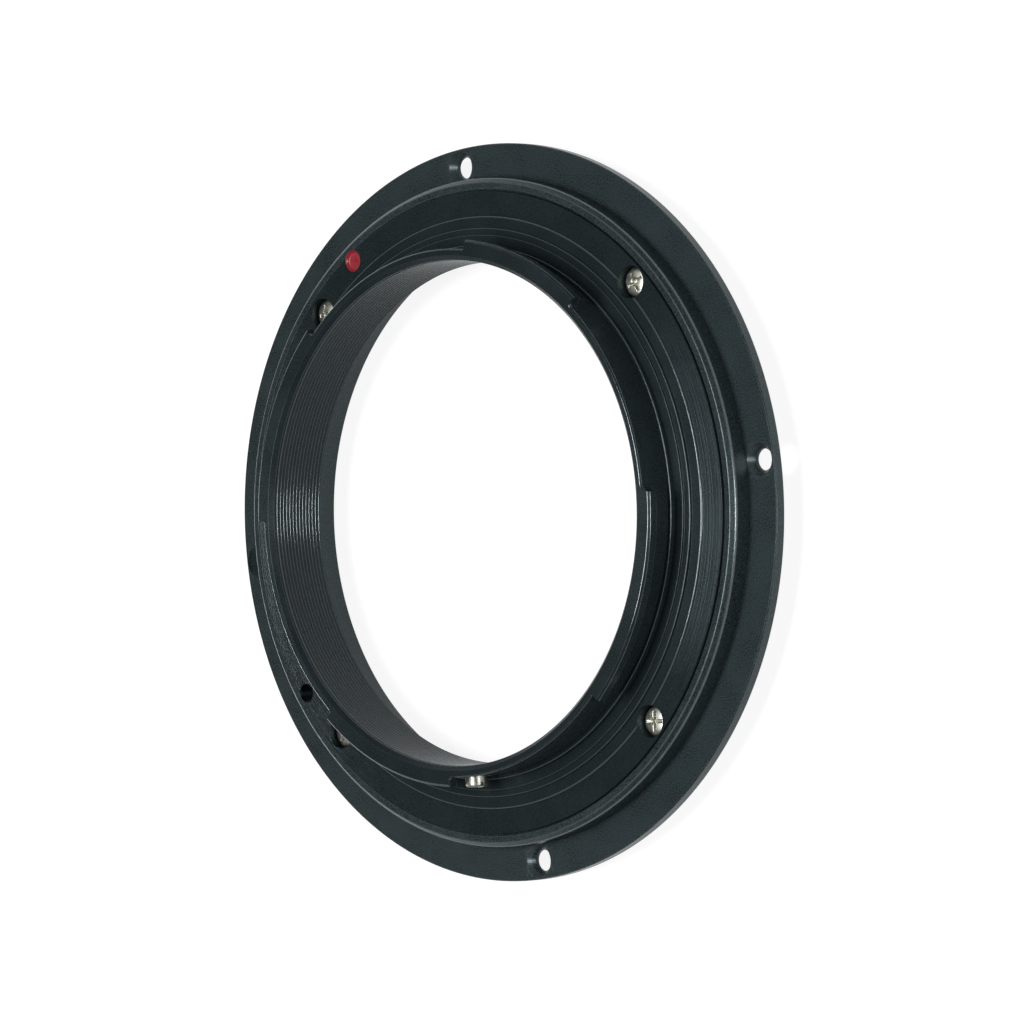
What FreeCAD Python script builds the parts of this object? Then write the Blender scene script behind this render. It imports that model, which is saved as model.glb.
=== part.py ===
# Twist-lock lens mount: a flange ring that bolts to a body, with a four-lug bayonet ring screwed
# into its recess. The optical axis is Z. Z zero is the rear face of the hub, the lugs point up.
import FreeCAD, Part
import os
import Sketcher

doc = FreeCAD.newDocument("lens_mount")

# Driving dimensions in millimetres and degrees.
sizes = [
    ("tube_d", "54.0", "outside diameter of the bayonet tube"),
    ("tube_wall", "1.2", "wall of the bayonet tube"),
    ("tube_len", "5.2", "tube front above the bayonet face"),
    ("tube_edge", "0.15", "chamfer on the outer front edge of the tube"),
    ("mouth_out", "0.5", "flare at the mouth of the bore, on radius"),
    ("mouth_len", "0.6", "axial length of the flare"),
    ("tail", "0.4", "tube behind the seat"),
    ("collar_out", "0.4", "root collar beyond the tube, on radius"),
    ("collar_rise", "0.58", "height of the root collar"),
    ("land_three", "1.08", "radial width of the innermost land"),
    ("land_two", "0.72", "radial width of the middle land"),
    ("land_one", "1.2", "radial width of the outer land"),
    ("face_width", "2.58", "radial width of the turned bearing face"),
    ("step_one", "0.21", "rise from the bearing face to the outer land"),
    ("step_two", "0.36", "rise to the middle land"),
    ("step_three", "0.25", "rise to the innermost land"),
    ("ring_t", "1.5", "thickness of the bayonet ring under its face"),
    ("lug_out", "0.97", "lug beyond the tube, on radius"),
    ("lug_t", "1.15", "axial thickness of a lug"),
    ("lug_edge", "0.22", "chamfer on the front outer edge of a lug"),
    ("lug_first", "137.4", "angle where the first lug begins"),
    ("span_a", "45", "angle of the first lug"),
    ("gap_a", "48.6", "gap after the first lug"),
    ("span_b", "39.5", "angle of the second lug"),
    ("gap_b", "48", "gap after the second lug"),
    ("span_c", "46.5", "angle of the third lug"),
    ("gap_c", "46", "gap after the third lug"),
    ("span_d", "34", "angle of the fourth lug"),
    ("fit_gap", "0.02", "radial clearance of seated pieces"),
    ("seat_rise", "1.0", "seat of the bayonet ring above the flange face"),
    ("rim_drop", "0.1", "rim below the bayonet face"),
    ("rim_wall", "1.4", "radial width of the rim"),
    ("rim_edge", "0.48", "chamfer on the outer edge of the rim"),
    ("seam_edge", "0.25", "chamfer on the inner edge of the rim"),
    ("ledge", "3.6", "flange ledge outside the rim"),
    ("plate_t", "1.2", "thickness of the flange plate"),
    ("plate_edge", "0.1", "chamfer on the front edge of the flange plate"),
    ("hub_len", "2.9", "rear hub behind the flange plate"),
    ("hub_inset", "7.0", "hub inside the flange edge, on radius"),
    ("hub_edge", "0.3", "chamfer on the rear outer edge of the hub"),
    ("bore_step", "1.3", "rear bore beyond the tube radius"),
    ("bolt_count", "4", "holes in the flange ledge"),
    ("bolt_angle", "8.93", "angle of the first bolt hole"),
    ("bolt_inset", "1.92", "bolt circle inside the flange edge, on radius"),
    ("bolt_d", "2.2", "bolt hole"),
    ("bolt_sink", "0.57", "countersink beyond the hole, on radius"),
    ("bolt_cone", "0.8", "depth of the countersink"),
    ("screw_count", "4", "screws that hold the bayonet ring"),
    ("screw_angle", "48.5", "angle of the first screw"),
    ("screw_inset", "1.8", "screw circle inside the seat wall, on radius"),
    ("shank_d", "1.6", "shank of a bayonet screw"),
    ("shank_len", "1.6", "shank below the seat"),
    ("head_d", "2.9", "head of a bayonet screw"),
    ("head_h", "0.6", "head height"),
    ("head_edge", "0.35", "bevel on a screw head"),
    ("sink_gap", "0.2", "counterbore beyond the head, on radius"),
    ("sink_deep", "1.15", "counterbore below the bayonet face"),
    ("shank_gap", "0.05", "clearance around a shank, on radius"),
    ("blind_gap", "0.4", "space under the end of a shank"),
    ("lock_back", "11.7", "lock hole before the third screw, in degrees"),
    ("lock_inset", "0.7", "lock hole inside the seat wall, on radius"),
    ("lock_d", "2.0", "lock pin hole"),
    ("lock_deep", "1.2", "lock hole below the seat"),
    ("dot_back", "12.6", "index dot before the second screw, in degrees"),
    ("dot_inset", "0.67", "index dot inside the seat wall, on radius"),
    ("dot_d", "2.26", "index dot"),
    ("dot_deep", "0.8", "index recess below the bayonet face"),
    ("dot_sunk", "0.45", "floor of the painted dish below the bayonet face"),
    ("dot_lip", "0.1", "edge of the painted dish below the bayonet face"),
    ("dot_slope", "0.24", "sloping wall of the painted dish, on radius"),
    ("stop_after", "4.7", "stop screw past the end of the second lug, in degrees"),
    ("stop_below", "1.8", "axis of the stop screw below the tube front"),
    ("stop_shank", "1.4", "shank of the stop screw"),
    ("stop_head", "2.3", "head of the stop screw"),
    ("stop_rise", "1.3", "head height of the stop screw"),
    ("stop_edge", "0.2", "bevel on the stop screw head"),
    ("stop_flat", "0.15", "spot face below the tube surface"),
    ("stop_spot", "0.3", "spot face beyond the head, on radius"),
    ("stop_short", "0.35", "shank end behind the bore wall"),
]

# Sizes that follow from the ones above.
derived = [
    ("tube_r", "=tube_d / 2", "tube"),
    ("bore_r", "=tube_r - tube_wall", "bore"),
    ("collar_r", "=tube_r + collar_out", "root collar"),
    ("third_r", "=collar_r + land_three", "innermost land"),
    ("second_r", "=third_r + land_two", "middle land"),
    ("first_r", "=second_r + land_one", "outer land"),
    ("ring_r", "=first_r + face_width", "bayonet ring"),
    ("seat_r", "=ring_r + fit_gap", "seat wall"),
    ("rim_r", "=seat_r + rim_wall", "rim"),
    ("flange_r", "=rim_r + ledge", "flange"),
    ("hub_r", "=flange_r - hub_inset", "hub"),
    ("throat_r", "=tube_r + bore_step", "rear bore"),
    ("lug_r", "=tube_r + lug_out", "lugs"),
    ("lug_root", "=tube_r - tube_wall / 2", "root of the lugs inside the tube wall"),
    ("plate_z", "=hub_len + plate_t", "front face of the flange plate"),
    ("seat_z", "=plate_z + seat_rise", "seat"),
    ("face_z", "=seat_z + ring_t", "bayonet face"),
    ("first_z", "=face_z + step_one", "outer land"),
    ("second_z", "=first_z + step_two", "middle land"),
    ("third_z", "=second_z + step_three", "innermost land"),
    ("collar_z", "=third_z + collar_rise", "root collar"),
    ("front_z", "=face_z + tube_len", "tube front"),
    ("rim_z", "=face_z - rim_drop", "rim"),
    ("lug_z", "=front_z - lug_t", "rear face of the lugs"),
    ("tail_z", "=seat_z - tail", "rear end of the tube"),
    ("lug_b", "=lug_first + span_a + gap_a", "angle where the second lug begins"),
    ("lug_c", "=lug_b + span_b + gap_b", "angle where the third lug begins"),
    ("lug_d", "=lug_c + span_c + gap_c", "angle where the fourth lug begins"),
    ("bolt_r", "=flange_r - bolt_inset", "bolt circle"),
    ("bolt_hole", "=bolt_d / 2", "bolt hole"),
    ("screw_r", "=seat_r - screw_inset", "screw circle"),
    ("shank_r", "=shank_d / 2", "screw shank"),
    ("head_r", "=head_d / 2", "screw head"),
    ("floor_z", "=face_z - sink_deep", "floor of the counterbores"),
    ("tip_z", "=seat_z - shank_len", "ends of the shanks"),
    ("head_z", "=floor_z + head_h", "tops of the screw heads"),
    ("lock_r", "=seat_r - lock_inset", "lock hole circle"),
    ("lock_hole", "=lock_d / 2", "lock hole"),
    ("lock_z", "=seat_z - lock_deep", "floor of the lock hole"),
    ("lock_angle", "=screw_angle + 180 - lock_back", "angle of the lock hole"),
    ("dot_c", "=seat_r - dot_inset", "index dot circle"),
    ("dot_r", "=dot_d / 2", "index dot"),
    ("dot_z", "=face_z - dot_deep", "floor of the index recess"),
    ("dot_edge", "=face_z - dot_lip", "edge of the painted dish"),
    ("dot_mid", "=face_z - dot_sunk", "floor of the painted dish"),
    ("dot_angle", "=screw_angle + 90 - dot_back", "angle of the index dot"),
    ("stop_angle", "=lug_b + span_b + stop_after", "angle of the stop screw"),
    ("stop_z", "=front_z - stop_below", "axis of the stop screw"),
    ("stop_seat", "=tube_r - stop_flat", "spot face"),
    ("stop_pin", "=stop_shank / 2", "stop screw shank"),
    ("stop_cap", "=stop_head / 2", "stop screw head"),
    ("stop_tip", "=bore_r + stop_short", "inner end of the stop screw"),
    ("stop_top", "=stop_seat + stop_rise", "outer end of the stop screw"),
    ("bore_in", "=bore_r - tube_wall", "inside the bore, for the radial cut"),
    ("outer_r", "=lug_r + lug_out", "outside the lugs, for the radial cut"),
]

sheet = doc.addObject("Spreadsheet::Sheet", "dims")
for row, (alias, text, note) in enumerate(sizes + derived, start=1):
    sheet.set("A%d" % row, note)
    sheet.set("B%d" % row, text)
    sheet.setAlias("B%d" % row, alias)
doc.recompute()


def amount(text):
    """Sum of sizes named in a text such as "tube_r - tube_edge", as a number."""
    total = 0.0
    sign = 1.0
    for word in text.split():
        if word in "+-":
            sign = -1.0 if word == "-" else 1.0
        else:
            total += sign * float(sheet.get(word))
            sign = 1.0
    return total


def bound(text):
    """The same text as an expression on the sheet of sizes."""
    return " ".join(word if word in "+-" else "dims." + word for word in text.split())


def plane(body, role):
    """Origin plane or axis of a body, by its role."""
    return [o for o in body.Origin.OriginFeatures if o.Role == role][0]


def new_body(name):
    body = doc.addObject("PartDesign::Body", name)
    body.Label = name
    return body


def attach(sketch, body, role, axis, angle=None, lift=None):
    """Put a sketch on an origin plane, turned about the optical axis and lifted along it."""
    sketch.AttachmentSupport = [(plane(body, role), "")]
    sketch.MapMode = "FlatFace"
    turn = FreeCAD.Rotation()
    if angle:
        turn = FreeCAD.Rotation(axis, amount(angle))
    raised = FreeCAD.Vector()
    if lift:
        raised = FreeCAD.Vector(0, 0, amount(lift))
    sketch.AttachmentOffset = FreeCAD.Placement(raised, turn)
    if angle:
        sketch.setExpression("AttachmentOffset.Rotation.Angle", bound(angle))
    if lift:
        sketch.setExpression("AttachmentOffset.Base.z", bound(lift))


def pin(sketch, geo, end, across, up):
    """Fix one point of a sketch by its distances from the sketch origin."""
    for kind, text in (("DistanceX", across), ("DistanceY", up)):
        if text is None:
            continue
        spot = sketch.addConstraint(Sketcher.Constraint(kind, -1, 1, geo, end, amount(text)))
        sketch.setExpression("Constraints[%d]" % spot, bound(text))
    if across is None:
        sketch.addConstraint(Sketcher.Constraint("PointOnObject", geo, end, -2))
    if up is None:
        sketch.addConstraint(Sketcher.Constraint("PointOnObject", geo, end, -1))


def outline(sketch, corners):
    """Closed section of straight lines, one corner for each pair of radius and height."""
    spots = []
    for across, up in corners:
        x = amount(across) if across else 0.0
        y = amount(up) if up else 0.0
        spots.append(FreeCAD.Vector(x, y, 0))
    count = len(corners)
    first = sketch.GeometryCount
    for i in range(count):
        sketch.addGeometry(Part.LineSegment(spots[i], spots[(i + 1) % count]), False)
    for i in range(count):
        sketch.addConstraint(Sketcher.Constraint("Coincident", first + i, 2, first + (i + 1) % count, 1))
        pin(sketch, first + i, 1, corners[i][0], corners[i][1])
    return first


def axis_line(sketch, start, end):
    """Construction line that a section turns about."""
    a = FreeCAD.Vector(amount(start[0]), amount(start[1]), 0)
    b = FreeCAD.Vector(amount(end[0]), amount(end[1]), 0)
    geo = sketch.addGeometry(Part.LineSegment(a, b), True)
    pin(sketch, geo, 1, start[0], start[1])
    pin(sketch, geo, 2, end[0], end[1])


def section(body, name, corners, angle=None, axis=None):
    """Section in a plane through the optical axis: across is radius, up is height."""
    sketch = body.newObject("Sketcher::SketchObject", name)
    attach(sketch, body, "XZ_Plane", FreeCAD.Vector(0, 1, 0), angle)
    outline(sketch, corners)
    if axis:
        axis_line(sketch, axis[0], axis[1])
    return sketch


def turned(body, kind, name, sketch, own_axis=False, angle=None):
    """Revolution or groove of a section about the optical axis or about its own line."""
    feature = body.newObject("PartDesign::" + kind, name)
    feature.Profile = sketch
    feature.ReferenceAxis = (sketch, ["Axis0" if own_axis else "V_Axis"])
    feature.Angle = 360.0
    if angle:
        feature.Angle = amount(angle)
        feature.setExpression("Angle", bound(angle))
    sketch.Visibility = False
    body.Tip = feature
    doc.recompute()
    return feature


def around(body, name, originals, count):
    """Repeat features evenly about the optical axis."""
    pattern = body.newObject("PartDesign::PolarPattern", name)
    pattern.Originals = originals
    pattern.Axis = (plane(body, "Z_Axis"), [""])
    pattern.Angle = 360.0
    pattern.Occurrences = int(amount(count))
    pattern.setExpression("Occurrences", bound(count))
    body.Tip = pattern
    doc.recompute()
    return pattern


def round_pocket(body, name, radius_at, hole_r, angle, top, bottom):
    """Flat-bottomed round pocket parallel to the optical axis."""
    sketch = body.newObject("Sketcher::SketchObject", name + "_sketch")
    attach(sketch, body, "XY_Plane", FreeCAD.Vector(0, 0, 1), angle, top)
    middle = FreeCAD.Vector(amount(radius_at), 0, 0)
    sketch.addGeometry(Part.Circle(middle, FreeCAD.Vector(0, 0, 1), amount(hole_r)), False)
    size = sketch.addConstraint(Sketcher.Constraint("Radius", 0, amount(hole_r)))
    sketch.setExpression("Constraints[%d]" % size, bound(hole_r))
    pin(sketch, 0, 3, radius_at, None)
    pocket = body.newObject("PartDesign::Pocket", name)
    pocket.Profile = sketch
    pocket.Length = amount(top + " - " + bottom)
    pocket.setExpression("Length", bound(top + " - " + bottom))
    sketch.Visibility = False
    body.Tip = pocket
    doc.recompute()
    return pocket


# Flange ring: rear hub, bolt-on plate and raised rim around the seat of the bayonet ring.
flange = new_body("flange_ring")
flange_section = section(flange, "flange_section", [
    ("throat_r", None),
    ("hub_r - hub_edge", None),
    ("hub_r", "hub_edge"),
    ("hub_r", "hub_len"),
    ("flange_r", "hub_len"),
    ("flange_r", "plate_z - plate_edge"),
    ("flange_r - plate_edge", "plate_z"),
    ("rim_r", "plate_z"),
    ("rim_r", "rim_z - rim_edge"),
    ("rim_r - rim_edge", "rim_z"),
    ("seat_r + seam_edge", "rim_z"),
    ("seat_r", "rim_z - seam_edge"),
    ("seat_r", "seat_z"),
    ("throat_r", "seat_z"),
])
turned(flange, "Revolution", "flange_blank", flange_section)

# Bolt holes: countersunk from the front, close to the foot of the rim.
bolt_section = section(flange, "bolt_section", [
    ("bolt_r", "hub_len - plate_t"),
    ("bolt_r + bolt_hole", "hub_len - plate_t"),
    ("bolt_r + bolt_hole", "plate_z - bolt_cone"),
    ("bolt_r + bolt_hole + bolt_sink", "plate_z"),
    ("bolt_r + bolt_hole + bolt_sink", "rim_z + rim_edge"),
    ("bolt_r", "rim_z + rim_edge"),
], "bolt_angle", (("bolt_r", "hub_len - plate_t"), ("bolt_r", "rim_z")))
bolt_cut = turned(flange, "Groove", "bolt_hole", bolt_section, True)
around(flange, "bolt_holes", [bolt_cut], "bolt_count")

# Blind holes in the seat that take the shanks of the bayonet screws.
tap_section = section(flange, "tap_section", [
    ("screw_r", "tip_z - blind_gap"),
    ("screw_r + shank_r + shank_gap", "tip_z - blind_gap"),
    ("screw_r + shank_r + shank_gap", "seat_z + seat_rise"),
    ("screw_r", "seat_z + seat_rise"),
], "screw_angle", (("screw_r", "tip_z"), ("screw_r", "seat_z")))
tap_cut = turned(flange, "Groove", "tap_hole", tap_section, True)
around(flange, "tap_holes", [tap_cut], "screw_count")

# Lock pin hole and index recess run across the seam, so both rings carry a part of each.
round_pocket(flange, "flange_lock", "lock_r", "lock_hole", "lock_angle", "rim_z", "lock_z")
round_pocket(flange, "flange_index", "dot_c", "dot_r + fit_gap", "dot_angle", "rim_z", "dot_z")

# Bayonet ring: turned bearing face, three low lands, root collar and tube. The bore stands for the
# crests of its fine stray-light ridges.
bayonet = new_body("bayonet_ring")
bayonet_section = section(bayonet, "bayonet_section", [
    ("bore_r", "tail_z"),
    ("tube_r", "tail_z"),
    ("tube_r", "seat_z"),
    ("ring_r", "seat_z"),
    ("ring_r", "face_z"),
    ("first_r", "face_z"),
    ("first_r", "first_z"),
    ("second_r", "first_z"),
    ("second_r", "second_z"),
    ("third_r", "second_z"),
    ("third_r", "third_z"),
    ("collar_r", "third_z"),
    ("collar_r", "collar_z"),
    ("tube_r", "collar_z"),
    ("tube_r", "front_z - tube_edge"),
    ("tube_r - tube_edge", "front_z"),
    ("bore_r + mouth_out", "front_z"),
    ("bore_r", "front_z - mouth_len"),
])
turned(bayonet, "Revolution", "bayonet_blank", bayonet_section)

# Four lugs of unequal length around the front of the tube.
lugs = (
    ("a", "lug_first", "span_a"),
    ("b", "lug_b", "span_b"),
    ("c", "lug_c", "span_c"),
    ("d", "lug_d", "span_d"),
)
for letter, start, span in lugs:
    lug_section = section(bayonet, "lug_section_" + letter, [
        ("lug_root", "lug_z"),
        ("lug_r", "lug_z"),
        ("lug_r", "front_z - lug_edge"),
        ("lug_r - lug_edge", "front_z"),
        ("lug_root", "front_z"),
    ], start)
    turned(bayonet, "Revolution", "lug_" + letter, lug_section, False, span)

# Counterbored screw holes.
sink_section = section(bayonet, "sink_section", [
    ("screw_r", "seat_z - seat_rise"),
    ("screw_r + shank_r + shank_gap", "seat_z - seat_rise"),
    ("screw_r + shank_r + shank_gap", "floor_z"),
    ("screw_r + head_r + sink_gap", "floor_z"),
    ("screw_r + head_r + sink_gap", "third_z + collar_rise"),
    ("screw_r", "third_z + collar_rise"),
], "screw_angle", (("screw_r", "seat_z"), ("screw_r", "face_z")))
sink_cut = turned(bayonet, "Groove", "screw_hole", sink_section, True)
around(bayonet, "screw_holes", [sink_cut], "screw_count")

round_pocket(bayonet, "bayonet_lock", "lock_r", "lock_hole", "lock_angle", "first_z", "lock_z")
round_pocket(bayonet, "bayonet_index", "dot_c", "dot_r + fit_gap", "dot_angle", "first_z", "dot_z")

# Radial hole and spot face for the stop screw.
stop_hole = section(bayonet, "stop_section", [
    ("bore_in", "stop_z"),
    ("bore_in", "stop_z + stop_pin + fit_gap"),
    ("stop_seat", "stop_z + stop_pin + fit_gap"),
    ("stop_seat", "stop_z + stop_cap + stop_spot"),
    ("outer_r", "stop_z + stop_cap + stop_spot"),
    ("outer_r", "stop_z"),
], "stop_angle", (("bore_in", "stop_z"), ("outer_r", "stop_z")))
turned(bayonet, "Groove", "stop_hole", stop_hole, True)

# Four cap screws in the counterbores, one group of separate solids.
screws = new_body("bayonet_screws")
screws.AllowCompound = True
screw_section = section(screws, "screw_section", [
    ("screw_r", "tip_z"),
    ("screw_r + shank_r", "tip_z"),
    ("screw_r + shank_r", "floor_z"),
    ("screw_r + head_r", "floor_z"),
    ("screw_r + head_r", "head_z - head_edge"),
    ("screw_r + head_r - head_edge", "head_z"),
    ("screw_r", "head_z"),
], "screw_angle", (("screw_r", "tip_z"), ("screw_r", "head_z")))
one_screw = turned(screws, "Revolution", "one_screw", screw_section, True)
around(screws, "all_screws", [one_screw], "screw_count")

# Radial stop screw beside the second lug.
stop = new_body("stop_screw")
stop_profile = section(stop, "stop_profile", [
    ("stop_tip", "stop_z"),
    ("stop_tip", "stop_z + stop_pin"),
    ("stop_seat", "stop_z + stop_pin"),
    ("stop_seat", "stop_z + stop_cap"),
    ("stop_top - stop_edge", "stop_z + stop_cap"),
    ("stop_top", "stop_z + stop_cap - stop_edge"),
    ("stop_top", "stop_z"),
], "stop_angle", (("stop_tip", "stop_z"), ("stop_top", "stop_z")))
turned(stop, "Revolution", "stop_turned", stop_profile, True)

# Index dot: paint that lines its recess and leaves a shallow dish across the seam.
dot = new_body("index_dot")
dot_section = section(dot, "dot_section", [
    ("dot_c", "dot_z"),
    ("dot_c + dot_r", "dot_z"),
    ("dot_c + dot_r", "dot_edge"),
    ("dot_c + dot_r - dot_slope", "dot_mid"),
    ("dot_c", "dot_mid"),
], "dot_angle", (("dot_c", "dot_z"), ("dot_c", "dot_mid")))
turned(dot, "Revolution", "dot_turned", dot_section, True)

doc.recompute()
for item in doc.Objects:
    if "Invalid" in item.State or "Error" in item.State:
        raise RuntimeError("not built: " + item.Name + " " + str(item.State))

os.makedirs("parts", exist_ok=True)
for body in (flange, bayonet, screws, stop, dot):
    if body.Shape.isNull() or not body.Shape.isValid():
        raise RuntimeError("bad shape: " + body.Label)
    print(body.Label, "solids", len(body.Shape.Solids), "volume", round(body.Shape.Volume, 3))
    body.Shape.exportStep("parts/%s.step" % body.Label)
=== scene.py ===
"""Twist-lock lens mount: two black turned rings, recessed screws, a stop screw and a red index dot.

Laid out as an add-on and run as a script around the packed solids. Every surface is a grid of
points worked out from two parameters, in metres, in the frame of the solids: the optical axis is Z
and the rear face of the hub lies on Z = 0.
"""

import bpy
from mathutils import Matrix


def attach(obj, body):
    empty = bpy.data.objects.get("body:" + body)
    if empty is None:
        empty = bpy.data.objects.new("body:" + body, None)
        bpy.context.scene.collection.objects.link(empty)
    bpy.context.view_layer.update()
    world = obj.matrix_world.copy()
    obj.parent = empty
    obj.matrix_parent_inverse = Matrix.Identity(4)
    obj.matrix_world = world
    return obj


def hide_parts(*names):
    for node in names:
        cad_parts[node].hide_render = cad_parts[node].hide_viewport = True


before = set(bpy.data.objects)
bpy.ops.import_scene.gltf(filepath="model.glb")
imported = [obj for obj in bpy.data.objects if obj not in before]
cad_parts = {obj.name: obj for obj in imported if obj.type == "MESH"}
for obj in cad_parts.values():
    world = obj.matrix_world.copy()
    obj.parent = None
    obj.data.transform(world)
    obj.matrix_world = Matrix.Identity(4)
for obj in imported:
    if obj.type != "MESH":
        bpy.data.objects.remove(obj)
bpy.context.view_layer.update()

import math

import bpy
import numpy as np
from bpy.props import FloatProperty, FloatVectorProperty, IntProperty, PointerProperty
from bpy.types import Operator, Panel, PropertyGroup
from mathutils import Matrix, Vector

bl_info = {
    "name": "Twist-lock lens mount",
    "version": (1, 0, 0),
    "blender": (4, 5, 0),
    "location": "View3D > Sidebar > Lens mount",
    "description": "Builds the rings, screws and index dot of a twist-lock lens mount",
    "category": "Object",
}

MM = 0.001
BODY = "root"
WEAR = "edge_wear"
SHARP = math.radians(57)
QUARTER = math.pi / 2

# A rounded corner: its least cut as a share of the radius, its most as a share of the shorter edge,
# how far out the points lie that keep the flats flat, and the least turn of a raised corner.
CUT_LEAST, CUT_MOST, CUT_FLARE, RAISED_LEAST = 0.4, 0.44, 1.12, 1e-6

# Points on each rounding, columns round an axis, and rows from a rim to the middle.
FLANGE_STEPS, BAYONET_STEPS = 6, 3
FLANGE_COLUMNS, BAYONET_COLUMNS, HEAD_COLUMNS = 480, 360, 192
HOLE_COLUMNS, TAP_COLUMNS, FLOOR_COLUMNS = 96, 48, 96
HEAD_ROWS, DOT_ROWS = 72, 44


# Digits that a size shows in the sidebar.
DIGITS = 5


def length(label, value, text):
    """A size, given in millimetres and kept in metres."""
    return FloatProperty(
        name=label, description=text, default=value * MM, unit="LENGTH", precision=DIGITS
    )


def lengths(label, values, text):
    """Four sizes, given in millimetres and kept in metres."""
    metres = tuple(value * MM for value in values)
    return FloatVectorProperty(
        name=label, description=text, default=metres, size=4, unit="LENGTH", precision=DIGITS
    )


def turn(label, value, text):
    """An angle about the optical axis, given in degrees and kept in radians."""
    return FloatProperty(name=label, description=text, default=math.radians(value), subtype="ANGLE")


def turns(label, values, text):
    """Four angles about the optical axis, given in degrees and kept in radians."""
    radians = tuple(math.radians(value) for value in values)
    return FloatVectorProperty(
        name=label, description=text, default=radians, size=4, subtype="EULER"
    )


def tint(label, value, text):
    """A linear colour."""
    return FloatVectorProperty(
        name=label, description=text, default=value, size=3, min=0.0, max=1.0, subtype="COLOR"
    )


def share(label, value, text):
    """A plain factor."""
    return FloatProperty(name=label, description=text, default=value, min=0.0, max=1.0)


def watts(label, value, text):
    """The power of a lamp."""
    return FloatProperty(name=label, description=text, default=value, min=0.0)


def repeats(label, value, text):
    """How often a small form repeats."""
    return IntProperty(name=label, description=text, default=value, min=1)


class FlangeSizes(PropertyGroup):
    """Sizes of the flange ring."""

    outer: length("Outer radius", 38.0, "Outer edge of the bolt-on plate")
    hub: length("Hub radius", 31.0, "Outer wall of the rear hub")
    throat: length("Rear bore radius", 28.3, "Smooth bore through the hub")
    seat: length("Seat radius", 33.0, "Wall of the recess that takes the bayonet ring")
    rim: length("Rim radius", 34.4, "Outer wall of the raised rim")
    plate_rear: length("Plate rear", 2.9, "Height of the plate's rear face")
    plate_front: length("Plate front", 4.1, "Height of the plate's front face")
    seat_floor: length("Seat floor", 5.1, "Height of the recess floor")
    rim_top: length("Rim top", 6.5, "Height of the rim's top")
    rim_bevel: length("Rim bevel", 0.48, "Bevel on the rim's outer edge")
    rim_round: length("Rim rounding", 0.42, "Rounding between the rim's wall and its bevel")
    seam_bevel: length("Seam bevel", 0.25, "Bevel on the rim's inner edge")
    plate_bevel: length("Plate bevel", 0.1, "Bevel on both edges of the plate")
    hub_bevel: length("Hub bevel", 0.3, "Bevel on the hub's rear edge")
    throat_bevel: length("Throat bevel", 0.1, "Bevel on the rear edge of the bore")
    ease: length("Edge easing", 0.05, "Rounding that blasting leaves on an edge")
    bolt_circle: length("Bolt circle radius", 36.08, "Centres of the bolt holes")
    bolt_turn: turn("Bolt angle", 8.93, "First bolt hole")
    bolt_hole: length("Bolt hole radius", 1.1, "Through part of a bolt hole")
    bolt_sink: length("Countersink width", 0.57, "Widening of the countersink")
    bolt_cone: length("Countersink depth", 0.8, "Depth of the countersink")
    cone_mark: length("Cone mark", 0.028, "Depth of the tool marks in a countersink")


class BayonetSizes(PropertyGroup):
    """Sizes of the bayonet ring."""

    outer: length("Outer radius", 32.98, "Edge of the bearing face")
    tube: length("Tube radius", 27.0, "Outer wall of the tube")
    bore: length("Bore radius", 25.8, "Crests of the stray-light ridges")
    tail: length("Tail height", 4.7, "Rear end of the tube")
    seat: length("Seat height", 5.1, "Rear face of the ring")
    face: length("Bearing face height", 6.6, "Height of the bearing face")
    land_first: length("First land radius", 30.4, "Outer edge of the first land")
    slant: length("First step slant", 0.09, "How far the wall of the first step leans")
    land_second: length("Second land radius", 29.2, "Outer edge of the second land")
    land_third: length("Third land radius", 28.48, "Outer edge of the third land")
    collar: length("Collar radius", 27.4, "Root collar of the tube")
    first_z: length("First land height", 6.81, "Height of the first land")
    second_z: length("Second land height", 7.17, "Height of the second land")
    third_z: length("Third land height", 7.42, "Height of the third land")
    collar_z: length("Collar height", 8.0, "Top of the collar")
    front: length("Front height", 11.8, "Front face of the tube")
    tube_bevel: length("Tube edge", 0.15, "Bevel on the tube's front edge")
    lug_outer: length("Lug radius", 27.97, "Outer wall of the lugs")
    lug_rear: length("Lug rear height", 10.65, "Rear face of the lugs")
    lug_bevel: length("Lug bevel", 0.22, "Bevel on the front edge of the lugs")
    lug_starts: turns("Lug starts", (137.4, 231.0, 318.5, 51.0), "Where each lug begins")
    lug_spans: turns("Lug spans", (45.0, 39.5, 46.5, 34.0), "How far each lug runs")
    first_runs: lengths("First fillets", (0.45, 0.45, 0.45, 0.45), "Cutter radius at first ends")
    last_runs: lengths("Last fillets", (0.45, 0.45, 0.95, 0.45), "Cutter radius at last ends")
    mouth: length("Mouth step", 0.06, "Plain land at the mouth beyond the crests, on radius")
    mouth_bevel: length("Mouth bevel", 0.44, "Bevel at the mouth of the bore")
    mouth_reach: length("Mouth depth", 0.62, "Depth of the plain land at the mouth")
    ridge_count: repeats("Ridges", 14, "Grooves between the ridges of the bore")
    ridge_pitch: length("Ridge pitch", 0.468, "Distance from groove to groove")
    ridge_width: length("Groove width", 0.231, "Width of a groove at the crest")
    ridge_depth: length("Groove depth", 0.2, "Depth of a groove")
    ridge_round: length("Crest rounding", 0.045, "Rounding on the front edge of each crest")
    line_count: repeats("Turned lines", 15, "Tool marks on the bearing face")
    line_pitch: length("Line pitch", 0.16, "Distance between tool marks")
    line_depth: length("Line depth", 0.019, "Depth of a tool mark")
    ease: length("Edge easing", 0.05, "Rounding of an edge")
    lock_circle: length("Lock hole circle", 32.3, "Centre of the lock hole")
    lock_turn: turn("Lock hole angle", 216.8, "Place of the lock hole")
    lock_hole: length("Lock hole radius", 1.0, "Radius of the lock hole")
    lock_floor: length("Lock hole floor", 3.9, "Height of the lock hole's floor")


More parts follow.
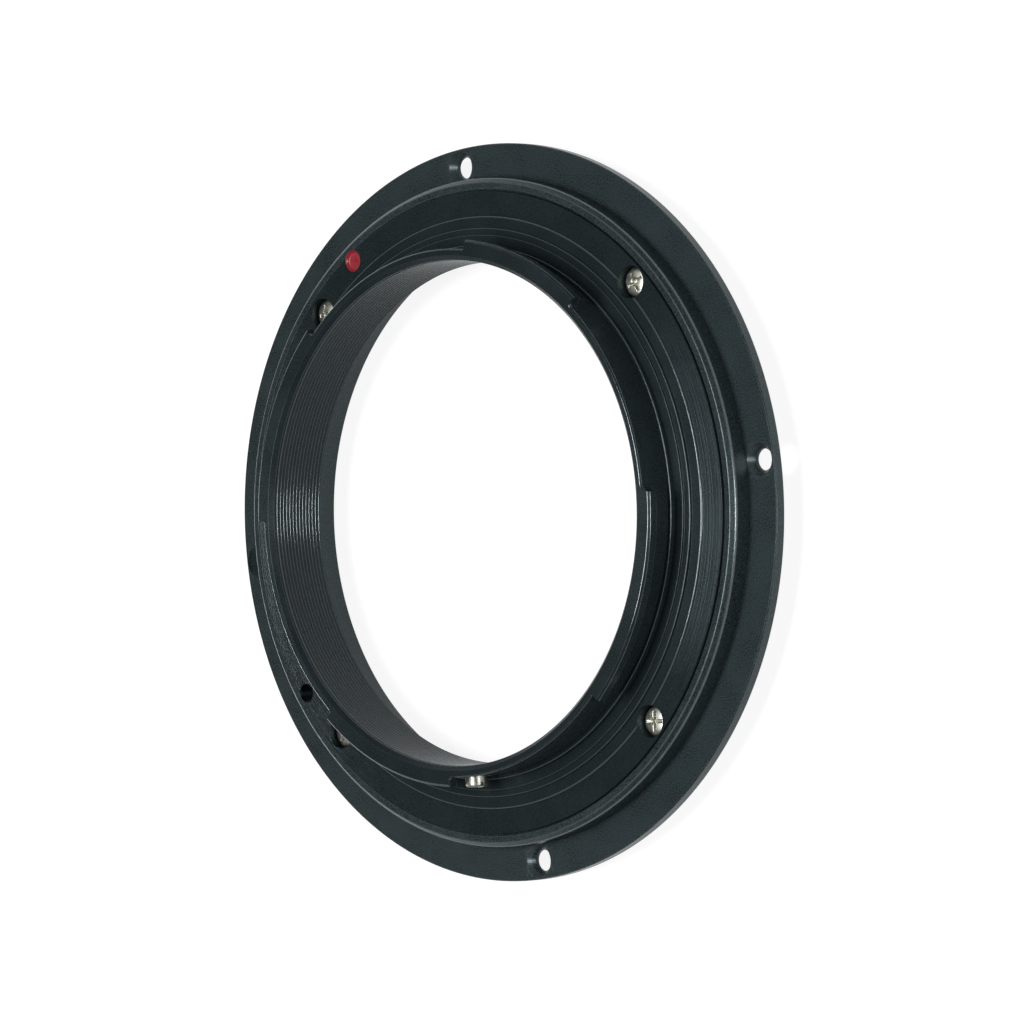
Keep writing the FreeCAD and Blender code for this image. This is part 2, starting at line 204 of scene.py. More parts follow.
class FastenerSizes(PropertyGroup):
    """Sizes of the screws and the index dot."""

    circle: length("Screw circle radius", 31.2, "Centres of the recessed screws")
    turn_first: turn("Screw angle", 48.5, "First recessed screw")
    sink: length("Counterbore radius", 1.65, "Radius of the counterbores")
    sink_floor: length("Counterbore floor", 5.45, "Height of the counterbore floor")
    hole: length("Shank hole radius", 0.85, "Radius of the shank holes")
    head: length("Head radius", 1.45, "Radius of a screw head")
    head_top: length("Head top", 6.05, "Height of the screw heads")
    head_crown: length("Head crown", 0.36, "Rise of the dome on a screw head")
    shank: length("Shank radius", 0.8, "Radius of a shank")
    tip: length("Shank tip", 3.5, "Height of the shank tips")
    cross_turns: turns("Cross angles", (28.0, 12.0, 61.0, 2.0), "How each cross recess is turned")
    cross_arm: length("Cross arm", 1.05, "Reach of the cross recess")
    cross_half: length("Cross half width", 0.2, "Half the width of a cross arm")
    cross_deep: length("Cross depth", 0.4, "Depth of the cross recess")
    stop_turn: turn("Stop angle", 275.2, "Place of the stop screw")
    stop_height: length("Stop height", 10.0, "Height of the stop screw's axis")
    stop_head: length("Stop head radius", 1.15, "Radius of the stop screw's head")
    stop_crown: length("Stop crown", 0.3, "Rise of the dome on the stop screw")
    stop_pin: length("Stop shank radius", 0.7, "Radius of the stop screw's shank")
    stop_seat: length("Stop seat", 26.85, "Flat that the stop screw's head sits on")
    stop_top: length("Stop top", 28.15, "Outer end of the stop screw")
    stop_tip: length("Stop tip", 26.15, "Inner end of the stop screw")
    stop_spot: length("Spot face radius", 1.45, "Radius of the flat under the stop screw")
    slot_half: length("Slot half width", 0.2, "Half the width of the stop screw's slot")
    slot_deep: length("Slot depth", 0.4, "Depth of the stop screw's slot")
    dot_circle: length("Dot circle", 32.33, "Centre of the index dot")
    dot_turn: turn("Dot angle", 125.9, "Place of the index dot")
    dot: length("Dot radius", 1.13, "Radius of the index dot")
    dot_floor: length("Dot floor", 5.8, "Bottom of the index dot")
    dot_edge: length("Dot edge", 6.5, "Height of the dot's edge")
    dot_mid: length("Dot middle", 6.15, "Height of the dish in the dot")
    dot_slope: length("Dot slope", 0.3, "Width of the slope round the dish")
    clear: length("Clearance", 0.02, "Gap round a seated piece")


class FinishColours(PropertyGroup):
    """Colours and gloss of the finishes."""

    blasted: tint("Blasted black", (0.0113, 0.0164, 0.0179), "Blasted and anodised flange")
    turned: tint("Turned black", (0.0097, 0.0143, 0.0160), "Turned and anodised bayonet")
    bore: tint("Bore black", (0.0060, 0.0094, 0.0108), "Ridged and anodised bore")
    crest: tint("Bare crest", (0.23, 0.265, 0.275), "Thin anodising on the bore's crests")
    worn: tint("Worn edge", (0.17, 0.19, 0.20), "Thin anodising along the edges")
    sheen: tint("Black gloss", (0.76, 0.95, 1.0), "Tint of the reflections on the black anodising")
    nickel: tint("Nickel", (0.60, 0.60, 0.53), "Plated screws")
    red: tint("Index red", (0.27, 0.022, 0.032), "Enamel of the index dot")
    blasted_rough: share("Blasted roughness", 0.30, "Roughness of the flange")
    blasted_gloss: share("Blasted gloss", 0.36, "Strength of the reflections on the flange")
    turned_rough: share("Turned roughness", 0.28, "Roughness of the bayonet")
    turned_gloss: share("Turned gloss", 0.24, "Strength of the reflections on the bayonet")
    turned_stretch: share("Turned stretch", 0.60, "How far tool marks stretch the reflections")
    bore_rough: share("Bore roughness", 0.22, "Roughness of the ridged bore")
    bore_gloss: share("Bore gloss", 0.16, "Strength of the reflections in the bore")


class StageSetup(PropertyGroup):
    """Camera, lamps and floor."""

    swing: turn("Swing", 43.725, "How far the camera stands to the side of the optical axis")
    tilt: turn("Tilt", 0.83, "How far the camera looks down on the standing ring")
    distance: length("Distance", 627.8, "Camera distance along its line of sight")
    shift_x: length("Sideways place", -1.31, "Object's place across the picture")
    shift_y: length("Upward place", -0.04, "Object's place up the picture")
    lens: FloatProperty(name="Lens", description="Focal length on a 36 mm sensor", default=214.26)
    floor_reach: length("Floor reach", 2000.0, "Radius of the round floor")
    wall_height: length("Wall height", 400.0, "Height of the pale wall round the floor")
    lamp_reach: length("Lamp distance", 800.0, "Distance of the lamps")
    front_turn: turn("Front lamp", -46.0, "Front lamp, from the camera's direction")
    front_tall: length("Front lamp height", 450.0, "Long side of the front lamp")
    front_wide: length("Front lamp width", 320.0, "Short side of the front lamp")
    front_power: watts("Front power", 7.0, "Watts of the front lamp")
    side_turn: turn("Side lamp", 23.0, "Lamp at the right, from the camera's direction")
    side_tall: length("Side lamp height", 230.0, "Long side of the lamp at the right")
    side_wide: length("Side lamp width", 160.0, "Short side of the lamp at the right")
    side_power: watts("Side power", 3.3, "Watts of the lamp at the right")
    low_turn: turn("Low lamp", -122.0, "Low lamp at the left, from the camera's direction")
    low_tall: length("Low lamp height", 320.0, "Long side of the low lamp")
    low_wide: length("Low lamp width", 120.0, "Short side of the low lamp")
    low_drop: length("Low lamp drop", 110.0, "Low lamp's place below the middle of the picture")
    low_power: watts("Low power", 1.8, "Watts of the low lamp")
    room_light: share("Room light", 0.04, "Strength of the dim room around the stage")


# ---------------------------------------------------------------------------------------------
# Shapes
# ---------------------------------------------------------------------------------------------


def eased(corners, radius, wear, steps):
    """Closed outline with every corner rounded, and how much each point belongs to a raised edge.

    Both edges at a corner are cut back by radius / tan(half the corner's angle), and a quadratic
    curve with the corner as its handle joins the cuts. One more point on each side keeps the flats
    flat. A corner with radius 0 stays one sharp point. Raised corners get their wear, hollow ones
    none.
    """
    corner = np.asarray(corners, float)
    reach = np.broadcast_to(np.asarray(radius, float), len(corner))
    back, ahead = np.roll(corner, 1, 0) - corner, np.roll(corner, -1, 0) - corner
    room = np.minimum(np.linalg.norm(back, axis=1), np.linalg.norm(ahead, axis=1))
    back = back / np.linalg.norm(back, axis=1)[:, None]
    ahead = ahead / np.linalg.norm(ahead, axis=1)[:, None]
    half = np.arccos(np.clip((back * ahead).sum(1), -1, 1)) / 2
    cut = np.clip(reach / np.tan(half), reach * CUT_LEAST, room * CUT_MOST)[:, None]
    raised = (back[:, 1] * ahead[:, 0] - back[:, 0] * ahead[:, 1]) > RAISED_LEAST
    u = np.linspace(0, 1, steps)[None, :, None]
    start, end = corner + back * cut, corner + ahead * cut
    curve = (1 - u) ** 2 * start[:, None] + 2 * u * (1 - u) * corner[:, None] + u**2 * end[:, None]
    lead, tail = corner + back * cut * CUT_FLARE, corner + ahead * cut * CUT_FLARE
    points = np.concatenate([lead[:, None], curve, tail[:, None]], axis=1)
    weight = np.concatenate([[0.0], np.ones(steps), [0.0]])[None, :] * (raised * wear)[:, None]
    keep = np.ones(points.shape[:2], bool)
    keep[reach == 0] = False
    keep[reach == 0, 1] = True
    return points[keep], weight[keep]


def whole_turn(count):
    """Even angles round an axis, without the last, which is the first again."""
    return np.linspace(0, math.tau, count, endpoint=False)


def lathe(outline, columns):
    """Grid of a turned surface: radius and height of the outline, carried round the axis.

    Point (i, j) is (r cos a, r sin a, z), with r and z from row i and the angle a from column j.
    The outline may differ from column to column.
    """
    section = outline if outline.ndim == 3 else outline[:, None, :]
    r, z = section[..., 0], section[..., 1]
    shape = np.broadcast_shapes(r.shape, columns[None, :].shape)
    cos, sin = np.cos(columns)[None, :], np.sin(columns)[None, :]
    return np.stack([np.broadcast_to(v, shape) for v in (r * cos, r * sin, z)], axis=-1)


def faces_of(rows, cols, ring, start=0):
    """Quads of a grid whose columns close on themselves, numbered from a first point.

    In a ring the rows close too, and else both ends get a cap.
    """
    i = np.arange(rows if ring else rows - 1)[:, None]
    j = np.arange(cols)[None, :]
    right, up = (j + 1) % cols, (i + 1) % rows
    quads = np.stack([i * cols + j, i * cols + right, up * cols + right, up * cols + j], axis=-1)
    faces = (quads + start).reshape(-1, 4).tolist()
    if not ring:
        first = np.arange(start, start + cols)
        faces += [first[::-1].tolist(), (first + (rows - 1) * cols).tolist()]
    return faces


def smooth(share_up):
    """A share from 0 to 1 with level ends: 3 s^2 - 2 s^3."""
    return share_up * share_up * (3 - 2 * share_up)


def skin(name, grids, ring=False, wear=None):
    """Mesh object from one or more grids, each closed by itself, with its wear as an attribute."""
    points, faces, start = [], [], 0
    for grid in grids:
        rows, cols = grid.shape[:2]
        faces += faces_of(rows, cols, ring, start)
        points.append(grid.reshape(-1, 3))
        start += rows * cols
    mesh = bpy.data.meshes.new(name)
    mesh.from_pydata(np.concatenate(points).tolist(), [], faces)
    if wear is not None:
        mesh.attributes.new(WEAR, "FLOAT", "POINT").data.foreach_set(
            "value", np.broadcast_to(wear, grids[0].shape[:2]).astype(np.float32).ravel()
        )
    mesh.validate()
    piece = bpy.data.objects.new(name, mesh)
    bpy.context.scene.collection.objects.link(piece)
    return piece


def placed(grid, middle, turned=0.0, axis=(0.0, 0.0, 1.0)):
    """A grid made about Z, turned about it, laid along another axis and moved to its place."""
    lay = Vector((0, 0, 1)).rotation_difference(Vector(axis)).to_matrix()
    basis = np.array(lay @ Matrix.Rotation(turned, 3, "Z"))
    return grid @ basis.T + np.asarray(middle, float)


def around(radius, angle, height=0.0):
    """Point at a radius, an angle and a height about the optical axis."""
    return np.array([radius * math.cos(angle), radius * math.sin(angle), height])


def quarters(grid, radius, first, turned=(0.0, 0.0, 0.0, 0.0)):
    """Four copies of a grid, a quarter turn apart about the axis, each turned about itself."""
    return [placed(grid, around(radius, first + k * QUARTER), turned[k]) for k in range(4)]


def plug(outline, columns=HOLE_COLUMNS):
    """Grid of a solid of revolution from a list of radius and height, capped at both ends."""
    return lathe(np.asarray(outline, float), whole_turn(columns))


def carve(piece, grids):
    """Takes the solids of some capped grids out of a piece, and keeps the result as its mesh."""
    tool = skin(piece.name + "_tool", grids)
    cutter = piece.modifiers.new("carve", "BOOLEAN")
    cutter.operation, cutter.solver, cutter.object = "DIFFERENCE", "EXACT", tool
    bpy.context.view_layer.update()
    graph = bpy.context.evaluated_depsgraph_get()
    mesh = bpy.data.meshes.new_from_object(
        piece.evaluated_get(graph), preserve_all_data_layers=True, depsgraph=graph
    )
    if len(mesh.polygons) == 0:
        raise RuntimeError("the cut left nothing of " + piece.name)
    piece.modifiers.clear()
    old, piece.data = piece.data, mesh
    mesh.name = piece.name
    bpy.data.meshes.remove(old)
    bpy.data.meshes.remove(tool.data)


def settle(piece, material, node):
    """Smooth shading with sharp creases, the finish, the body of a piece and the node it is for."""
    piece.data.shade_smooth()
    piece.data.set_sharp_from_angle(angle=SHARP)
    piece.data.materials.clear()
    piece.data.materials.append(material)
    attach(piece, BODY)
    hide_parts(node)


def finish_inside(piece, material, reach):
    """A second finish on the faces whose middle is nearer to the axis than a radius."""
    piece.data.materials.append(material)
    middle = np.empty(3 * len(piece.data.polygons), np.float32)
    piece.data.polygons.foreach_get("center", middle)
    inner = np.hypot(*middle.reshape(-1, 3)[:, :2].T) < reach
    piece.data.polygons.foreach_set("material_index", inner.astype(np.int32))


# ---------------------------------------------------------------------------------------------
# Finishes
# ---------------------------------------------------------------------------------------------


# Noise cells per metre: clouds, grain, tool marks, rubbed edges, and the mottling of small pieces.
CLOUD, GRAIN, MARKS, RUBBED = 260.0, 7800.0, 9500.0, 900.0
PLATE_CLOUD, PLATE_PITS, ENAMEL_CLOUD, ENAMEL_RIPPLE = 1500.0, 6500.0, 1400.0, 1900.0
# Where most of a noise's values lie, and the whole range of a share.
USUAL, FULL = (0.3, 0.7), (0.0, 1.0)
# Tool marks: the height's share in their place, how faint they are inside the bearing face, and the
# width over which they fade. Reflections stretch a quarter of a turn from the tangent.
HEIGHT_SHARE, FAINT_MARKS, MARK_FADE, ACROSS = 0.83, 0.12, 0.1 * MM, 0.25
# Tones as shares of a colour: the two ends of the black's clouds, and the darker end of the plate's
# and the enamel's. A speck has the grain's values where it begins and where it is full, and a tone.
CLOUD_DARK, CLOUD_PALE, PLATE_DARK, ENAMEL_DARK = 0.88, 1.08, 0.72, 0.8
SPECKS = (((0.46, 0.66), 3.0), ((0.46, 0.32), 0.3))
# How noise breaks the wear of an edge: the values where it starts and ends, and the wear it leaves.
BREAK_ENDS, BREAK_LEFT = (0.35, 0.65), (0.75, 1.0)
# Change of the black's roughness by its grain, by its clouds and by full wear.
GRAIN_ENDS, GRAIN_ROUGH = (0.25, 0.75), (-0.05, 0.06)
CLOUD_ROUGH, WEAR_ROUGH = (-0.025, 0.025), 0.10
# The plate's mottling, the roughness of plate and enamel, and the share of the pits in the plate.
PLATE_ENDS, PLATE_ROUGH, ENAMEL_ROUGH, PIT_SHARE = (0.35, 0.7), (0.30, 0.46), (0.26, 0.38), 0.35


def scaled(colour, factor):
    """A colour times a factor."""
    return tuple(channel * factor for channel in colour)


def add(tree, kind, settings=None, **sockets):
    """A shader node with its settings, and its sockets set or linked by name or by i and number."""
    made = tree.nodes.new(kind)
    for key, value in (settings or {}).items():
        setattr(made, key, value)
    for key, value in sockets.items():
        numbered = key[0] == "i" and key[1:].isdigit()
        socket = made.inputs[int(key[1:]) if numbered else key]
        if isinstance(value, bpy.types.NodeSocket):
            tree.links.new(value, socket)
        else:
            socket.default_value = value
    return made


def calc(tree, operation, *values):
    """A math node's result."""
    sockets = {"i%d" % k: value for k, value in enumerate(values)}
    return add(tree, "ShaderNodeMath", {"operation": operation}, **sockets).outputs[0]


def spread(tree, value, source, target):
    """A value carried from one range to another and held inside it."""
    made = add(tree, "ShaderNodeMapRange", {"clamp": True}, Value=value)
    names = ("From Min", "From Max", "To Min", "To Max")
    for name, number in zip(names, (*source, *target)):
        made.inputs[name].default_value = number
    return made.outputs["Result"]


def blend(tree, factor, first, second):
    """Two colours mixed by a factor."""
    made = add(tree, "ShaderNodeMix", {"data_type": "RGBA"})
    tree.links.new(factor, made.inputs["Factor"])
    for socket, value in ((made.inputs[6], first), (made.inputs[7], second)):
        if isinstance(value, bpy.types.NodeSocket):
            tree.links.new(value, socket)
        else:
            socket.default_value = (*value, 1.0)
    return made.outputs[2]


def new_finish(name):
    """An empty node material with its output, and the surface shader on it."""
    material = bpy.data.materials.new(name)
    material.use_nodes = True
    tree = material.node_tree
    tree.nodes.clear()
    shader = add(tree, "ShaderNodeBsdfPrincipled")
    out = add(tree, "ShaderNodeOutputMaterial")
    tree.links.new(shader.outputs[0], out.inputs[0])
    place = add(tree, "ShaderNodeTexCoord").outputs["Object"]
    return material, tree, shader, place


def noise(tree, place, scale, detail=2.0, rough=0.5, dimensions="3D"):
    """Noise over a place in space, or along a single value."""
    made = add(
        tree, "ShaderNodeTexNoise", {"noise_dimensions": dimensions},
        Scale=scale, Detail=detail, Roughness=rough,
    )
    tree.links.new(place, made.inputs["W" if dimensions == "1D" else "Vector"])
    return made.outputs["Fac"]


def dent(tree, shader, height, strength, distance):
    """Bump from a height, on the shader's normal."""
    bump = add(tree, "ShaderNodeBump", Height=height, Strength=strength, Distance=distance)
    tree.links.new(bump.outputs[0], shader.inputs["Normal"])


def black_finish(name, base, worn, rough, gloss, grain, lines, stretch, bare, speck):
    """Black anodising: mottled colour, fine blasted grain, tool marks round the axis, paler edges.

    The grain is noise in space. The tool marks are noise along radius plus height, so that they run
    round the axis on every turned face, and reflections stretch across them: the tangent is the
    place turned by a quarter about the axis. The edges come from the wear attribute, broken by
    noise, and show bare metal.
    """
    material, tree, shader, place = new_finish(name)
    apart = add(tree, "ShaderNodeSeparateXYZ", Vector=place).outputs
    flat = add(tree, "ShaderNodeCombineXYZ", X=apart["X"], Y=apart["Y"]).outputs[0]
    radius = add(tree, "ShaderNodeVectorMath", {"operation": "LENGTH"}, i0=flat).outputs["Value"]
    along = calc(tree, "ADD", radius, calc(tree, "MULTIPLY", apart["Z"], HEIGHT_SHARE))
    cloud = noise(tree, place, CLOUD, detail=3.0)
    fine = noise(tree, place, GRAIN, rough=0.65)
    mark = noise(tree, along, MARKS, rough=0.6, dimensions="1D")

    wear = add(tree, "ShaderNodeAttribute", {"attribute_name": WEAR}).outputs["Fac"]
    rubbed = noise(tree, place, RUBBED, detail=4.0, rough=0.7)
    patchy = calc(tree, "MULTIPLY", wear, spread(tree, rubbed, BREAK_ENDS, BREAK_LEFT))
    dark, pale = scaled(base, CLOUD_DARK), scaled(base, CLOUD_PALE)
    body = blend(tree, spread(tree, cloud, USUAL, FULL), dark, pale)
    for ends, tone in SPECKS:
        specks = calc(tree, "MULTIPLY", spread(tree, fine, ends, FULL), speck)
        body = blend(tree, specks, body, scaled(base, tone))
    metal = calc(tree, "MULTIPLY", patchy, bare)
    tree.links.new(blend(tree, metal, body, worn), shader.inputs["Base Color"])
    tree.links.new(metal, shader.inputs["Metallic"])

    grainy = spread(tree, fine, GRAIN_ENDS, tuple(rough + change for change in GRAIN_ROUGH))
    varied = calc(tree, "ADD", grainy, spread(tree, cloud, USUAL, CLOUD_ROUGH))
    polished = calc(tree, "SUBTRACT", varied, calc(tree, "MULTIPLY", patchy, WEAR_ROUGH))
    tree.links.new(polished, shader.inputs["Roughness"])
    sheen = bpy.context.scene.mount_colours.sheen
    for socket, value in (
        ("Specular IOR Level", gloss), ("Specular Tint", (*sheen, 1.0)),
        ("Anisotropic", stretch), ("Anisotropic Rotation", ACROSS),
    ):
        shader.inputs[socket].default_value = value
    vector, up = "ShaderNodeVectorMath", (0.0, 0.0, 1.0)
    aside = add(tree, vector, {"operation": "CROSS_PRODUCT"}, i0=up, i1=flat).outputs[0]
    aside = add(tree, vector, {"operation": "NORMALIZE"}, i0=aside).outputs[0]
    tree.links.new(aside, shader.inputs["Tangent"])

    edge = bpy.context.scene.mount_bayonet.land_first
    faced = spread(tree, radius, (edge, edge + MARK_FADE), (FAINT_MARKS, 1.0))
    ruled = calc(tree, "MULTIPLY", calc(tree, "MULTIPLY", mark, lines), faced)
    height = calc(tree, "ADD", calc(tree, "MULTIPLY", fine, grain), ruled)
    dent(tree, shader, height, strength=0.55, distance=0.02 * MM)
    return material


def nickel_finish(name, base):
    """Plated steel: slightly warm, mottled, with fine pits and a roughness that varies."""
    material, tree, shader, place = new_finish(name)
    cloud = noise(tree, place, PLATE_CLOUD, detail=4.0, rough=0.65)
    pits = noise(tree, place, PLATE_PITS, detail=3.0, rough=0.6)
    mottled = blend(tree, spread(tree, cloud, PLATE_ENDS, FULL), scaled(base, PLATE_DARK), base)
    tree.links.new(mottled, shader.inputs["Base Color"])
    shader.inputs["Metallic"].default_value = 1.0
    tree.links.new(spread(tree, cloud, USUAL, PLATE_ROUGH), shader.inputs["Roughness"])
    height = calc(tree, "ADD", cloud, calc(tree, "MULTIPLY", pits, PIT_SHARE))
    dent(tree, shader, height, strength=0.4, distance=0.05 * MM)
    return material


def enamel_finish(name, base):
    """Red enamel: glossy, a little uneven in colour, with a soft ripple left from flowing out."""
    material, tree, shader, place = new_finish(name)
    cloud = noise(tree, place, ENAMEL_CLOUD, detail=3.0)
    ripple = noise(tree, place, ENAMEL_RIPPLE, detail=1.0)
    mottled = blend(tree, spread(tree, cloud, USUAL, FULL), scaled(base, ENAMEL_DARK), base)
    tree.links.new(mottled, shader.inputs["Base Color"])
    tree.links.new(spread(tree, cloud, USUAL, ENAMEL_ROUGH), shader.inputs["Roughness"])
    dent(tree, shader, ripple, strength=0.25, distance=0.06 * MM)
    return material


# ---------------------------------------------------------------------------------------------
# Pieces
# ---------------------------------------------------------------------------------------------


# Room below a shank's tip, a cutter's way past what it cuts, and how many marks a countersink has.
TIP_ROOM, PAST, CONE_MARKS = 0.4 * MM, MM, 5


def flange_outline(s):
    """Section of the flange ring, counter-clockwise from the rear edge of its bore.

    A row is a corner's radius and height, its rounding and its wear.
    """
    corners = np.array([
        (s.throat + s.throat_bevel, 0.0, s.ease, 0.2),
        (s.hub - s.hub_bevel, 0.0, s.ease, 0.4),
        (s.hub, s.hub_bevel, s.ease, 0.4),
        (s.hub, s.plate_rear, 0.0, 0.0),
        (s.outer - s.plate_bevel, s.plate_rear, s.ease, 0.25),
        (s.outer, s.plate_rear + s.plate_bevel, s.ease, 0.25),
        (s.outer, s.plate_front - s.plate_bevel, s.ease, 0.25),
        (s.outer - s.plate_bevel, s.plate_front, s.ease, 0.25),
        (s.rim, s.plate_front, 0.0, 0.0),
        (s.rim, s.rim_top - s.rim_bevel, s.rim_round, 1.0),
        (s.rim - s.rim_bevel, s.rim_top, s.ease * 4, 0.7),
        (s.seat + s.seam_bevel, s.rim_top, s.ease, 0.6),
        (s.seat, s.rim_top - s.seam_bevel, s.ease, 0.6),
        (s.seat, s.seat_floor, 0.0, 0.0),
        (s.throat, s.seat_floor, s.ease, 0.2),
        (s.throat, s.throat_bevel, s.ease, 0.2),
    ])
    return corners[:, :2], corners[:, 2], corners[:, 3]


def bolt_tool(s):
    """Tool of a countersunk hole: a shaft, a cone with tool marks and a clear way above it.

    Along the cone the radius is hole + sink t and the height front - cone (1 - t), and every other
    point stands out by the depth of a mark.
    """
    t = np.linspace(0.0, 1.0, 2 * CONE_MARKS + 1)
    depth = s.cone_mark * (np.arange(len(t)) % 2)
    radius, height = s.bolt_hole + s.bolt_sink * t + depth, s.plate_front - s.bolt_cone * (1 - t)
    cone = np.stack([radius, height], axis=1)
    wide = s.bolt_hole + s.bolt_sink
    return plug(np.concatenate([
        [(s.bolt_hole, s.plate_rear - PAST)], cone, [(wide, s.plate_front + PAST)],
    ]))


class MOUNT_OT_flange(Operator):
    """Builds the flange ring: hub, plate with countersunk bolt holes, and raised rim"""

    bl_idname = "lens_mount.flange"
    bl_label = "Flange ring"

    def execute(self, context):
        scene, colours = context.scene, context.scene.mount_colours
        s, b, f = scene.mount_flange, scene.mount_bayonet, scene.mount_fastener
        outline, wear = eased(*flange_outline(s), steps=FLANGE_STEPS)
        turned = lathe(outline, whole_turn(FLANGE_COLUMNS))
        ring = skin("flange_shell", [turned], True, wear[:, None])
        tap = plug([(f.hole, f.tip - TIP_ROOM), (f.hole, s.seat_floor + PAST)], TAP_COLUMNS)
        high, dot_wide = s.rim_top + PAST, f.dot + f.clear
        lock = plug([(b.lock_hole, b.lock_floor), (b.lock_hole, high)])
        dot = plug([(dot_wide, f.dot_floor), (dot_wide, high)])
        carve(ring, [
            *quarters(bolt_tool(s), s.bolt_circle, s.bolt_turn),
            *quarters(tap, f.circle, f.turn_first),
            placed(lock, around(b.lock_circle, b.lock_turn)),
            placed(dot, around(f.dot_circle, f.dot_turn)),
        ])
        black = black_finish(
            "blasted_black", colours.blasted, colours.worn, colours.blasted_rough,
            colours.blasted_gloss, grain=1.0, lines=0.1, stretch=0.0, bare=0.52, speck=0.75,
        )
        settle(ring, black, "flange_ring")
        return {"FINISHED"}


# A tool mark across its pitch: the share of the pitch and of the depth at each point. The first
# mark lies inside the edge, and the depth is a mean and a swing with the sine of the mark's number.
TROUGH = ((0.0, 0.0), (0.3, 1.0), (0.5, 1.0), (0.8, 0.0))
MARK_INSET, MARK_MEAN, MARK_SWING, MARK_STEP = 0.1 * MM, 0.85, 0.3, 2.4
# Points on a crest's rounding, outwards and forwards as shares of it, and wear along a groove.
CREST_OUTER, CREST_INNER, CREST_WEAR = (1.0, 0.6), (0.25, -0.2), (0.0, 0.0, 0.6, 0.6, 0.0)
# Wear of the front edges, and the height that keeps the two corners of a lug's rear edge apart
# where there is no lug.
FRONT_WEAR, LUG_STEP = 1.5, 0.03 * MM
# Places of the columns across the wall at a lug's end, and along the fillet that follows it.
LUG_WALL = np.array([-0.06, -0.02, 0.0, 0.012, 0.03]) * MM
LUG_FILLET = np.linspace(0.15, 1.0, 7)
ANGLE_DIGITS = 7
# How far beyond the grooves the finish of the bore reaches.
BORE_MARGIN = 0.02 * MM


def pairs(rows):
    """Points of some rows of radius and height, taken in turn from every row."""
    return np.stack([np.stack(np.broadcast_arrays(*row), 1) for row in rows], axis=1).reshape(-1, 2)


def bayonet_outline(s, lug):
    """Section of the bayonet ring, counter-clockwise from its rear inner edge.

    A row is a corner's radius and height, its rounding and its wear. Tool marks on the bearing face
    and the ridges of the bore are part of it. A mark is a shallow trough. A groove is a V whose
    inner edge is rounded on the crest behind it. In a lug the corners of the tube's front outer
    edge move out to the lug's corners.
    """
    mark = np.arange(s.line_count)
    near = s.outer - MARK_INSET - mark * s.line_pitch
    deep = s.line_depth * (MARK_MEAN + MARK_SWING * np.sin(mark * MARK_STEP))
    marks = pairs([(near - s.line_pitch * part, s.face - deep * down) for part, down in TROUGH])
    groove = np.arange(s.ridge_count)
    top = s.front - s.mouth_reach - groove * s.ridge_pitch
    low, soft = top - s.ridge_width, s.ridge_round
    wide = s.bore + s.mouth
    grooves = pairs([
        (np.where(groove == 0, wide, s.bore), top),
        (s.bore + s.ridge_depth, top - s.ridge_width / 2),
        *((s.bore + soft * out, low + soft * up) for out, up in (CREST_OUTER, CREST_INNER)),
        (s.bore, low - soft),
    ])
    wall, bevel = (s.lug_outer, s.lug_bevel) if lug else (s.tube, s.tube_bevel)
    step, rear_wear = (0.0, 1.0) if lug else (LUG_STEP, 0.0)
    before = [
        (s.bore, s.tail, s.ease * 0.4, 0.0),
        (s.tube, s.tail, 0.0, 0.0),
        (s.tube, s.seat, 0.0, 0.0),
        (s.outer, s.seat, 0.0, 0.0),
        (s.outer, s.face, s.ease, 0.0),
    ]
    after = [
        (s.land_first + s.slant, s.face, 0.0, 0.0),
        (s.land_first, s.first_z, s.ease * 2.6, 1.0),
        (s.land_second, s.first_z, s.ease, 0.0),
        (s.land_second, s.second_z, s.ease * 1.3, 0.75),
        (s.land_third, s.second_z, s.ease, 0.0),
        (s.land_third, s.third_z, s.ease * 0.8, 0.6),
        (s.collar, s.third_z, 0.0, 0.0),
        (s.collar, s.collar_z, s.ease * 1.5, 1.0),
        (s.tube, s.collar_z, 0.0, 0.0),
        (s.tube, s.lug_rear, 0.0, 0.0),
        (wall, s.lug_rear + step, s.ease * 1.6, rear_wear),
        (wall, s.front - bevel, s.ease, FRONT_WEAR),
        (wall - bevel, s.front, s.ease * 1.4, FRONT_WEAR),
        (wide + s.mouth_bevel, s.front, s.ease, 0.15),
        (wide, s.front - s.mouth_bevel, s.ease, 0.1),
    ]
    sharp = np.zeros(len(grooves))
    corners = np.concatenate([
        before,
        np.pad(marks, ((0, 0), (0, 2))),
        after,
        np.column_stack([grooves, sharp, np.tile(CREST_WEAR, len(groove))]),
    ])
    return corners[:, :2], corners[:, 2], corners[:, 3]


